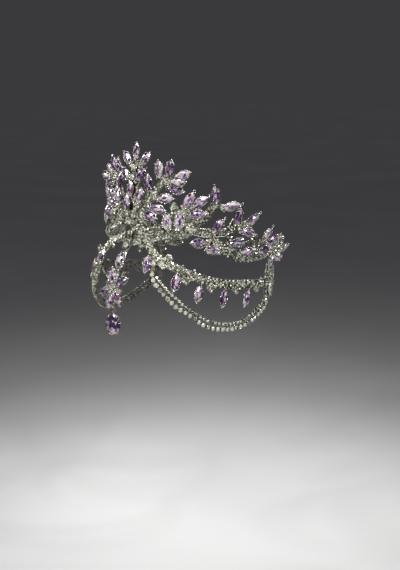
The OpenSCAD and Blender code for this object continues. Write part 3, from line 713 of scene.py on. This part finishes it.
def cross_section(surface, path, run, where):
    """Row, middle point, and directions along, across and out, at a distance along a band."""
    row = at_run(path, run, where)
    a, b = at_run(path, run, max(0, where - 0.5)), at_run(path, run, min(run[-1], where + 0.5))
    out = out_dir(surface, *row[:2])
    across = unit(np.cross(out, unit(spot(surface, *b[:2]) - spot(surface, *a[:2]))))
    return row, spot(surface, *row[:2]), np.cross(across, out), across, out


def painted_shade_strip(surface, path, run, rise):
    """Dark sheet just above a band's front: painted shade that shows between the crystals."""
    points, faces = [], []
    count = max(4, round(run[-1] / SHADE_STRIP_STEP))
    for k in range(count + 1):
        row, middle, _, across, out = cross_section(surface, path, run, run[-1] * k / count)
        for side in (-1, 1):
            points.append(middle + across * side * (row[2] / 2 - SHADE_STRIP_INSET) + out * rise)
    for k in range(count):
        faces.append([2 * k, 2 * k + 2, 2 * k + 3, 2 * k + 1])
    return points, faces


def crystal_band(pile, chance, surface, rows, thick, covers=(), size=CRYSTAL):
    """Crystals packed in offset rows on a band's front, with a bead of metal between each few."""
    path, run = measured(surface, rows)
    # Dark strip just above the band's front: painted shade that shows between the crystals
    pile.add(painted_shade_strip(surface, path, run, thick + LIFT), "bed_silver")
    stations = max(2, round(run[-1] / (size * ROW_STEP)))
    for k in range(stations + 1):
        where = run[-1] * (BAND_END + (1 - 2 * BAND_END) * k / stations)
        row, middle, along, across, out = cross_section(surface, path, run, where)
        full = max(1, round((row[2] + COUNT_SPARE) / size))
        count = full - 1 if k % 2 and full > 1 else full
        pitch = (row[2] + SPREAD_SPARE) / full
        for j in range(count):
            p = middle + across * (j - (count - 1) / 2) * pitch + out * (thick + 2 * LIFT)
            if covered(p, covers):
                continue
            m = place(p, along, out)
            small_one(pile, chance, m, min(size, pitch) / 2)
            pile.add(bead(BEAD_R), WIRE, shifted(m, size / 2, pitch * BEAD_ASIDE, BEAD_RISE))


# Crystals along stems and round roots: their size, and as shares of it their step, their distance to the
# stem's side, and the radius and depth of the bead behind each
SPARK, SPARK_STEP, SPARK_ASIDE, SPARK_BEAD, SPARK_BEHIND = 2.5, 0.6, 0.42, 0.42, 0.28
# Those round a root: places as shares of a turn, and distances outside and below the stone
ROOT_TURNS, ROOT_OUT, ROOT_BELOW = [0.40, 0.455, 0.545, 0.60], 1.9, 0.5


def stem_sparks(pile, chance, hub, leaf, covers):
    """Small crystals in two staggered rows along the stem of a leaf."""
    m = leaf_place(leaf)
    end = m[:3, 3] - m[:3, 0] * LEAF_LEN * STEM_AT - m[:3, 2] * (LEAF_DEEP + CUP_FLOOR)
    start, out = raised(SHELL, *hub, BAND_THICK), out_dir(SHELL, *leaf[:2])
    along = unit(end - start)
    across = unit(np.cross(out, along))
    count = int(np.linalg.norm(end - start) / (SPARK * SPARK_STEP))
    for k in range(1, count + 1):
        aside = SPARK * SPARK_ASIDE if k % 2 else -SPARK * SPARK_ASIDE
        p = start + (end - start) * k / (count + 1) + across * aside
        if not covered(p, covers):
            backed_spark(pile, chance, place(p, along, out))


def root_sparks(pile, chance, m, covers, length=LEAF_LEN, width=LEAF_WID):
    """Small crystals soldered round the root end of a leaf's cup."""
    for turn in ROOT_TURNS:
        x, y = leaf_outline(length / 2 + ROOT_OUT, width / 2 + ROOT_OUT, turn)
        spark = shifted(m, x, y, -ROOT_BELOW)
        if not covered(spark[:3, 3], covers):
            backed_spark(pile, chance, spark)


def backed_spark(pile, chance, m):
    """Small crystal with a metal bead behind it."""
    small_one(pile, chance, m, SPARK / 2)
    pile.add(bead(SPARK * SPARK_BEAD), WIRE, shifted(m, 0, 0, -SPARK * SPARK_BEHIND))


# Bright wire on a band's edge: its radius, step, distance outside the edge and height above the front
EDGE_R, EDGE_STEP, EDGE_ASIDE, EDGE_RISE = 0.42, 2.5, 0.1, 0.25


def band_edge(surface, rows, side, thick, r=EDGE_R, end=1.0):
    """Bright wire along one edge of a band, up to a share of its length."""
    path, run = measured(surface, rows)
    points = []
    count = max(6, round(run[-1] * end / EDGE_STEP))
    for k in range(count + 1):
        row, middle, _, across, out = cross_section(surface, path, run, run[-1] * end * k / count)
        points.append(middle + across * side * (row[2] / 2 + EDGE_ASIDE) + out * (thick + EDGE_RISE))
    return tube(points, r, 6)


# The crown's own pieces

# Groups whose leaves have a small loop at the tip
TIP_LOOPS = ("side", "scroll", "middle", "back", "tail")
# Depth of colour of each group's stones, in turn
DEPTHS = {"peak": ["mid", "deep"], "front": ["mid", "deep", "mid", "pale", "deep"],
          "curl": ["pale", "mid", "deep"], "side": ["wine", "pale", "mid"], "scroll": ["deep", "pale"],
          "middle": ["deep", "mid"], "hem": ["mid", "pale"], "back": ["mid", "wine", "deep"],
          "tail": ["pale", "mid"]}
CENTRE_DEPTHS = ["mid", "wine", "mid"]
# Half sizes of what a cup hides, as shares of its stone's length and width
COVER_LONG, COVER_WIDE = 0.42, 0.46
# A round stone on a narrow band counts as this much longer and wider
ROUND_LONG, ROUND_WIDE = 1.2, 1.1


def leaf_place(leaf):
    return lay(SHELL, *leaf[:2], LEAF_OUT + leaf[3], leaf[2], LEAF_TILT)


def round_place(r):
    return lay(SHELL, *r[:2], LEAF_OUT + r[2])


def cup_cover(m, length=LEAF_LEN, width=LEAF_WID):
    """What the cup of a stone hides: its matrix and half sizes."""
    return m, length * COVER_LONG, width * COVER_WIDE


def round_cover(m, dia):
    return cup_cover(m, dia * ROUND_LONG, dia * ROUND_WIDE)


def make_piece(pile, name, body, slot, *replaced):
    """A named piece of the visual model, in place of the solids that it replaces."""
    made = pile.piece(name, body)
    if replaced:
        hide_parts(*replaced)


def side_piece(side_name, pile, name, slot, *replaced):
    """One side's piece, from the left side's shapes, which the right side mirrors."""
    own = pile if side_name == "left" else pile.mirrored()
    make_piece(own, f"{side_name}_{name}", "crown", slot, *[f"{side_name}_{solid}" for solid in replaced])


def both_sides(pile, name, slot, *replaced):
    for side_name in SIDES:
        side_piece(side_name, pile, name, slot, *replaced)


chance = random.Random(11)
spray_leaves = [(spray, leaf) for spray in SPRAYS for leaf in spray[3]]
half_covers = [cup_cover(leaf_place(leaf)) for spray, leaf in spray_leaves]
centre_covers = [cup_cover(leaf_place(leaf)) for leaf in CENTRE_LEAVES]
centre_covers += [cup_cover(round_place(r), ROUND_DIA, ROUND_DIA) for r in CENTRE_ROUNDS]
covers = half_covers + centre_covers
for group in GROUPS:
    stones = Pile()
    for i, leaf in enumerate(leaf for spray, leaf in spray_leaves if spray[0] == group):
        depth = DEPTHS[group][i % len(DEPTHS[group])]
        cut(stones, chance, depth, leaf_gem(), leaf_place(leaf))
    both_sides(stones, f"{group}_cut_stones", "lilac_stone", f"{group}_stones")

settings = Pile()
for spray, leaf in spray_leaves:
    leaf_setting(settings, leaf_place(leaf), tip_loop=spray[0] in TIP_LOOPS)
both_sides(settings, "claws", "silver_metal")

centre = Pile()
for leaf, depth in zip(CENTRE_LEAVES, CENTRE_DEPTHS):
    cut(centre, chance, depth, leaf_gem(), leaf_place(leaf))
make_piece(centre, "crown_centre_cut_stones", "crown", "lilac_stone", "crown_centre_stones")
rounds = Pile()
claws = Pile()
for leaf in CENTRE_LEAVES:
    leaf_setting(claws, leaf_place(leaf))
for r in CENTRE_ROUNDS:
    cut(rounds, chance, "clear", round_gem(ROUND_DIA), round_place(r))
    round_setting(claws, round_place(r), ROUND_DIA)
make_piece(rounds, "crown_centre_cut_crystals", "crown", "clear_stone", "crown_centre_crystals")
make_piece(claws, "crown_centre_claws", "crown", "silver_metal")

field = Pile()
for rows in BANDS:
    crystal_band(field, chance, SHELL, rows, BAND_THICK, covers)
both_sides(field, "band_crystals", "clear_stone")
field = Pile()
crystal_band(field, chance, SHELL, CENTRE_BAND, BAND_THICK, centre_covers)
make_piece(field, "centre_band_crystals", "crown", "clear_stone")

field = Pile()
for spray, leaf in spray_leaves:
    root_sparks(field, chance, leaf_place(leaf), covers)
    stem_sparks(field, chance, spray[1:3], leaf, covers)
both_sides(field, "stem_crystals", "clear_stone")
field = Pile()
for leaf in CENTRE_LEAVES:
    root_sparks(field, chance, leaf_place(leaf), covers)
    stem_sparks(field, chance, (0, leaf[1] - CENTRE_STEM), leaf, covers)
make_piece(field, "centre_stem_crystals", "crown", "clear_stone")

# Bands with polished edges, by their number in the table, and the share of the side scroll that has one
MIDDLE_SCROLL, SIDE_SCROLL, HOOK, TAIL_BAND = 1, 2, 7, 8
SIDE_SCROLL_EDGE = 0.35
wires = Pile()
for number in (MIDDLE_SCROLL, HOOK, TAIL_BAND):
    for edge in (1, -1):
        wires.add(band_edge(SHELL, BANDS[number], edge, BAND_THICK), WIRE)
wires.add(band_edge(SHELL, BANDS[SIDE_SCROLL], 1, BAND_THICK, end=SIDE_SCROLL_EDGE), WIRE)
both_sides(wires, "edge_wires", "silver_metal")


# The frontlet

FRONTLET_LEN, FRONTLET_WID = LEAF_LEN - 0.8, LEAF_WID + 0.4
BROW_LEAF_DEPTH, PETAL_DEPTHS = "pale", ["pale", "deep", "deep", "mid", "wine"]
# Sizes of the small crystals on the tab and on the connector
TAB_CRYSTAL, CONNECTOR_CRYSTAL = 2.2, 1.9
# Polished edge of the tab: the width that it takes, its distance below the front, and its radius
TAB_EDGE, TAB_EDGE_LOW, TAB_EDGE_R = 1.2, 0.5, 0.75
# Small crystals along the flower's wires: [distance to the wearer's left, height]
FLOWER_SPARKS = [[0.8, -6.8], [2.2, -9.4], [-0.6, -9.2], [1.0, -12], [-1.6, -12.4], [3.4, -12.2], [0, -15],
                 [0, -20.5], [1.2, -29.5], [-0.8, -31.5]]
FLOWER_SPARK_OUT = FLOWER_OUT + 1.4
# Wire down the wearer's left of the forehead stone: [distance to the wearer's left, height]
LEAF_WIRE = [[2.6, 12], [4.6, 8.5], [5.2, 3.5], [4.4, -2], [2.2, -7.5]]
LEAF_WIRE_OUT, LEAF_WIRE_R = 2.4, 0.5


def petal_spot(p):
    t = math.radians(p[0])
    return p[1] * math.cos(t), FLOWER_Z + p[1] * math.sin(t) * FLOWER_HIGH


brow = Pile()
brow_claws = Pile()
brow_places = [lay(BROW, 0, BROW_LEAF_Z, FRONTLET_OUT, 90)]
brow_places += [lay(BROW, *petal_spot(p), FRONTLET_OUT, p[0], PETAL_TILT) for p in PETALS]
for m, depth in zip(brow_places, [BROW_LEAF_DEPTH] + PETAL_DEPTHS):
    cut(brow, chance, depth, leaf_gem(FRONTLET_LEN, FRONTLET_WID), m)
    leaf_setting(brow_claws, m, FRONTLET_LEN, FRONTLET_WID)
make_piece(brow, "frontlet_cut_stones", "crown", "lilac_stone", "frontlet_stones")

brow_rounds = Pile()
brow_round_places = [(lay(BROW, *r[:2], TAB_ROUND_OUT), r[2]) for r in TAB_ROUNDS]
brow_round_places.append((lay(BROW, *petal_spot(FLOWER_ROUND_AT), FRONTLET_OUT), FLOWER_ROUND))
for m, dia in brow_round_places:
    cut(brow_rounds, chance, "clear", round_gem(dia), m)
    round_setting(brow_claws, m, dia)
make_piece(brow_rounds, "frontlet_cut_crystals", "crown", "clear_stone", "frontlet_crystals")

brow_covers = [cup_cover(m, FRONTLET_LEN, FRONTLET_WID) for m in brow_places]
brow_covers += [round_cover(m, dia) for m, dia in brow_round_places]
field = Pile()
tab_field = [[r[0] - TAB_EDGE / 2, r[1], r[2] - TAB_EDGE] for r in TAB]
crystal_band(field, chance, BROW, tab_field, BAND_THICK, brow_covers, TAB_CRYSTAL)
crystal_band(field, chance, BROW, CONNECTOR, CONNECTOR_THICK, brow_covers, CONNECTOR_CRYSTAL)
for m in brow_places[1:]:
    root_sparks(field, chance, m, brow_covers, FRONTLET_LEN, FRONTLET_WID)
for spark in FLOWER_SPARKS:
    backed_spark(field, chance, lay(BROW, *spark, FLOWER_SPARK_OUT))
make_piece(field, "frontlet_band_crystals", "crown", "clear_stone")

brow_claws.add(band_edge(BROW, TAB, 1, BAND_THICK - TAB_EDGE_LOW, TAB_EDGE_R), WIRE)
brow_claws.add(tube([raised(BROW, *r, LEAF_WIRE_OUT) for r in curve(LEAF_WIRE, 3)], LEAF_WIRE_R), WIRE)
make_piece(brow_claws, "frontlet_claws", "crown", "silver_metal")


# The oval drop

# The oval stone has painted shade above this height and a painted highlight below it, the height given as a
# share of its length from its middle
GLOW_BELOW = -0.14
OVAL_RIM_R = 0.38
# Its claws: places as shares of a turn, then rise, reach and radius
OVAL_CLAWS, OVAL_CLAW = [0.1, 0.22, 0.4, 0.6, 0.78, 0.9], [1.5, 1.3, 0.5]


def pivot_frame(z, forward):
    """Frame at a height on the drop's pivot line: X across, Y back and Z up, turned with the drop."""
    t = math.radians(DROP_TURN)
    m = np.eye(4)
    m[:3, 0], m[:3, 1] = (math.cos(t), math.sin(t), 0), (-math.sin(t), math.cos(t), 0)
    m[:3, 3] = np.array([0, DROP_Y, z]) - m[:3, 1] * forward
    return m


loop_z = LOOP_Z - LOOP_R * math.cos(math.radians(30))
ring_play = 2 * RING_WIRE + RING_SLACK
pivot_z = loop_z + ring_play - 2 * RING_R
oval_z = pivot_z + ring_play - 2 * BAIL_R - OVAL_LEN / 2 - OVAL_BELOW_BAIL
hang = pivot_frame(oval_z, OVAL_FORWARD)
oval_place = place(hang[:3, 3], hang[:3, 2], -hang[:3, 1])
drop = Pile()
oval_half = OVAL_LEN / 2, OVAL_WID / 2
oval = cut_stone(oval_outline, *oval_half, OVAL_TOP, OVAL_DEEP, OVAL_LEN * OVAL_KEEL)
drop.add(oval, zoned(chance, oval, OVAL_LEN * GLOW_BELOW), oval_place)
make_piece(drop, "drop_cut_stone", "drop", "lilac_stone", "drop_stone")
drop_claws = Pile()
drop_claws.add(rim(oval_outline, *oval_half, OVAL_RIM_R, 32), WIRE, oval_place)
for turn in OVAL_CLAWS:
    drop_claws.add(claw(oval_outline, *oval_half, turn, *OVAL_CLAW), WIRE, oval_place)
make_piece(drop_claws, "drop_claws", "drop", "silver_metal")


# The side strands, their drops, the straps and the chains

DROP_DEPTHS = ["deep", "wine", "mid", "deep", "mid"]
# Crystals along a square unit's side, and the share of that side within which it hides others
SMALL_SQUARE, SQUARE_HIDES = 3, 0.6
# Crystals on the strand's upper edge: [angle, height], then their radius and tilt
EDGE_SPARKS = [[44, 2], [51.5, -2], [66.5, -11], [81.5, -15], [91.5, -17.5], [99.5, -17]]
EDGE_SPARK_R, EDGE_SPARK_TILT = 1.3, -50
# Chain cups: distance of the crystal inside the cup, of the claws outside it, the claws' reach over the
# crystal, and their radii from root to tip
CHAIN_INSET, CHAIN_CLAW_OUT, CHAIN_CLAW_REACH, CHAIN_CLAW_R = 0.1, 0.12, 0.35, [0.3, 0.28, 0.2]
# Heights of a chain claw: its root as a share of the cup, its bend, its tip as a share of the crystal
CHAIN_CLAW_ROOT, CHAIN_CLAW_BEND, CHAIN_CLAW_TIP = -0.45, 0.1, 0.5


def drop_place(row):
    """Place of a drop's stone below its hanging loop."""
    loop = lay(HEAD, *row[:2], STAPLE_OUT, 90 - row[2])
    play = 2 * SMALL_WIRE + RING_SLACK
    return shifted(loop, play - 2 * SMALL_BAIL - LEAF_LEN / 2 - DROP_SEAT, 0, DROP_SEAT * 2)


def square_crystals(field, chance, m):
    """Three by three small crystals on a square unit, with beads between them."""
    pitch = SQUARE_SIDE / SMALL_SQUARE
    steps = [(i - (SMALL_SQUARE - 1) / 2) * pitch for i in range(SMALL_SQUARE)]
    for x, y in itertools.product(steps, repeat=2):
        small_one(field, chance, shifted(m, x, y, LIFT), pitch / 2)
        field.add(bead(BEAD_R), WIRE, shifted(m, x + pitch / 2, y + pitch / 2, BEAD_RISE))


def dress_strand(side_name, chance):
    """Drop stones, round crystal, claws and small crystals of one side's strand."""
    claws = Pile()
    for i, row in enumerate(DROP_LOOPS):
        stone = Pile()
        cut(stone, chance, DROP_DEPTHS[i], leaf_gem(), drop_place(row))
        side_piece(side_name, stone, f"drop_cut_stone_{i + 1}", "lilac_stone", f"drop_stone_{i + 1}")
        leaf_setting(claws, drop_place(row))
    m = lay(HEAD, *STRAND_ROUND, STRAND_ROUND_OUT)
    stone = Pile()
    cut(stone, chance, "clear", round_gem(STRAND_ROUND_DIA), m)
    side_piece(side_name, stone, "strand_cut_crystal", "clear_stone", "strand_crystal")
    round_setting(claws, m, STRAND_ROUND_DIA)
    side_piece(side_name, claws, "strand_claws", "silver_metal")

    field = Pile()
    squares = [lay(HEAD, *square, STRAND_THICK + SQUARE_RAISE, 45) for square in SQUARES]
    hidden = [round_cover(m, STRAND_ROUND_DIA)]
    hidden += [(square, SQUARE_SIDE * SQUARE_HIDES, SQUARE_SIDE * SQUARE_HIDES) for square in squares]
    rows = STRAND_FRONTS[SIDES.index(side_name)] + STRAND
    crystal_band(field, chance, HEAD, rows, STRAND_THICK, hidden)
    crystal_band(field, chance, HEAD, STRAND_CURL, STRAND_THICK, hidden)
    for square in squares:
        square_crystals(field, chance, square)
    for spark in EDGE_SPARKS:
        small_one(field, chance, lay(HEAD, *spark, STRAND_THICK, 90, EDGE_SPARK_TILT), EDGE_SPARK_R)
    side_piece(side_name, field, "strand_band_crystals", "clear_stone")


def dress_strap(side_name, chance):
    """Stone, claws and small crystals of one side's strap."""
    m = lay(HEAD, *STRAP_STONE, STRAP_OUT, 90)
    stone = Pile()
    cut(stone, chance, "clear", leaf_gem(STRAP_STONE_LEN, STRAP_STONE_WID), m)
    side_piece(side_name, stone, "strap_cut_stone", "clear_stone", "strap_stone")
    claws = Pile()
    leaf_setting(claws, m, STRAP_STONE_LEN, STRAP_STONE_WID)
    side_piece(side_name, claws, "strap_claws", "silver_metal")
    field = Pile()
    hidden = [cup_cover(m, STRAP_STONE_LEN, STRAP_STONE_WID)]
    crystal_band(field, chance, HEAD, STRAP, STRAND_THICK, hidden)
    side_piece(side_name, field, "strap_band_crystals", "clear_stone")


def chain_rows(route, pitch):
    """Places of a chain's cups, evenly spread along its route."""
    path, run = measured(HEAD, route, 4)
    count = int(run[-1] / pitch)
    return [at_run(path, run, k * run[-1] / count) for k in range(count + 1)]


def dress_chain(side_name, chance, name, route, dia, pitch):
    """Crystals and claws of one cup chain."""
    cups = Pile()
    r, out = dia / 2 - CHAIN_INSET, dia / 2 + CHAIN_CLAW_OUT
    over = r - CHAIN_CLAW_REACH
    for row in chain_rows(route, pitch):
        m = lay(HEAD, *row, dia * CUP_HIGH + LIFT)
        small_one(cups, chance, m, r, CHAIN_TONES)
        for k in range(4):
            t = math.pi / 4 + math.pi / 2 * k
            c, s = math.cos(t), math.sin(t)
            path = [(out * c, out * s, dia * CHAIN_CLAW_ROOT), (out * c, out * s, CHAIN_CLAW_BEND),
                    (over * c, over * s, r * CHAIN_CLAW_TIP)]
            cups.add(tube(path, CHAIN_CLAW_R, 5), WIRE, m)
    side_piece(side_name, cups, f"{name}_chain_crystals", "clear_stone")


for side_name in SIDES:
    chance = random.Random(23)
    dress_strand(side_name, chance)
    dress_strap(side_name, chance)
    dress_chain(side_name, chance, "outer", OUTER_CHAIN, OUTER_CUP, OUTER_PITCH)
    dress_chain(side_name, chance, "inner", INNER_CHAIN, INNER_CUP, INNER_PITCH)


# Floor, light and camera

# In metres: the floor's height and half its width
FLOOR_Z, FLOOR_HALF = -0.3, 12.0
FLOOR_DARK, FLOOR_LIGHT = (0.60, 0.60, 0.60), (0.64, 0.64, 0.64)


def floor():
    """Wide pale floor below the crown."""
    mesh = bpy.data.meshes.new("floor")
    corners = [(x * FLOOR_HALF, y * FLOOR_HALF, FLOOR_Z) for x, y in ((-1, -1), (1, -1), (1, 1), (-1, 1))]
    mesh.from_pydata(corners, [], [[0, 1, 2, 3]])
    made, tree, bsdf = shader("floor")
    tone = ramp(tree, pattern(tree, FLOOR_GRAIN), (0.4, FLOOR_DARK), (0.6, FLOOR_LIGHT))
    feed(bsdf, Base_Color=tone, Roughness=0.9)
    mesh.materials.append(made)
    shown("floor", mesh)


def direction(azimuth, elevation):
    """Unit vector from the crown, azimuth 0 to its front and 90 to the wearer's left."""
    a, e = math.radians(azimuth), math.radians(elevation)
    return Vector((math.sin(a) * math.cos(e), -math.cos(a) * math.cos(e), math.sin(e)))


LAMP_SPREAD = 60
LAMP_AIM = Vector((0, 0, 0.02))
WHITE, WARM = (1, 1, 1), (1, 0.99, 0.96)
# Soft lamps: [name, azimuth, elevation, distance and width in metres, watts, colour]
LAMPS = [["key", 10, 55, 0.9, 0.35, 0.7, WARM], ["fill", 80, 25, 1.1, 0.3, 0.4, WHITE],
         ["back", 205, 45, 1.0, 0.4, 0.9, WHITE], ["rear", 160, 20, 1.1, 0.4, 0.5, WHITE],
         ["side", -80, 30, 1.1, 0.3, 0.35, WHITE]]
# Small lamps for the stones' sparkle: [azimuth, elevation], then distance, width, watts, colour
SPARK_LAMPS = [[25, 20], [60, 45], [45, 5], [95, 60], [0, 30], [140, 35], [-40, 50]]
SPARK_LAMP = [1.0, 0.06, 0.2, WHITE]
# Sky: [height of the direction, colour]
SKY = [(0.08, (0.042, 0.042, 0.045)), (0.25, (0.12, 0.12, 0.125)), (0.7, (0.05, 0.05, 0.055))]


def lamp(name, azimuth, elevation, distance, size, watts, color):
    """Soft square light that faces the crown."""
    light = bpy.data.lights.new(name, "AREA")
    light.energy, light.size, light.color = watts, size, color
    light.spread = math.radians(LAMP_SPREAD)
    made = shown(name, light)
    made.location = LAMP_AIM + direction(azimuth, elevation) * distance
    made.rotation_euler = (made.location - LAMP_AIM).to_track_quat("Z", "Y").to_euler()


def sky():
    """Dim grey studio round the crown, lighter just above the horizon."""
    world = bpy.data.worlds.new("studio")
    bpy.context.scene.world = world
    world.use_nodes = True
    tree = world.node_tree
    split = add_node(tree, "SeparateXYZ", Vector=add_node(tree, "TexCoord").outputs["Generated"])
    feed(tree.nodes["Background"], Color=ramp(tree, split.outputs["Z"], *SKY), Strength=1.0)


floor()
sky()
for row in LAMPS:
    lamp(*row)
for i, (azimuth, elevation) in enumerate(SPARK_LAMPS):
    lamp(f"spark_{i}", azimuth, elevation, *SPARK_LAMP)

# The camera looks from the wearer's left front. At its target a pixel of the picture is a millimetre.
CAMERA_AZIMUTH, CAMERA_ELEVATION, CAMERA_FAR = 43, 11, 1.1
FRAME_LONG, SENSOR = 0.570, 36
TARGET_RIGHT, TARGET_DOWN = 0.0046, 0.033
camera = shown("camera", bpy.data.cameras.new("camera"))
back = direction(CAMERA_AZIMUTH, CAMERA_ELEVATION)
right = direction(CAMERA_AZIMUTH + 90, 0)
target = right * TARGET_RIGHT - back.cross(right) * TARGET_DOWN
camera.location = target + back * CAMERA_FAR
camera.rotation_euler = back.to_track_quat("Z", "Y").to_euler()
camera.data.sensor_width = SENSOR
camera.data.lens = SENSOR * CAMERA_FAR / FRAME_LONG
camera.data.clip_start = 0.01
bpy.context.scene.camera = camera

bpy.context.scene.view_settings.view_transform = "Standard"
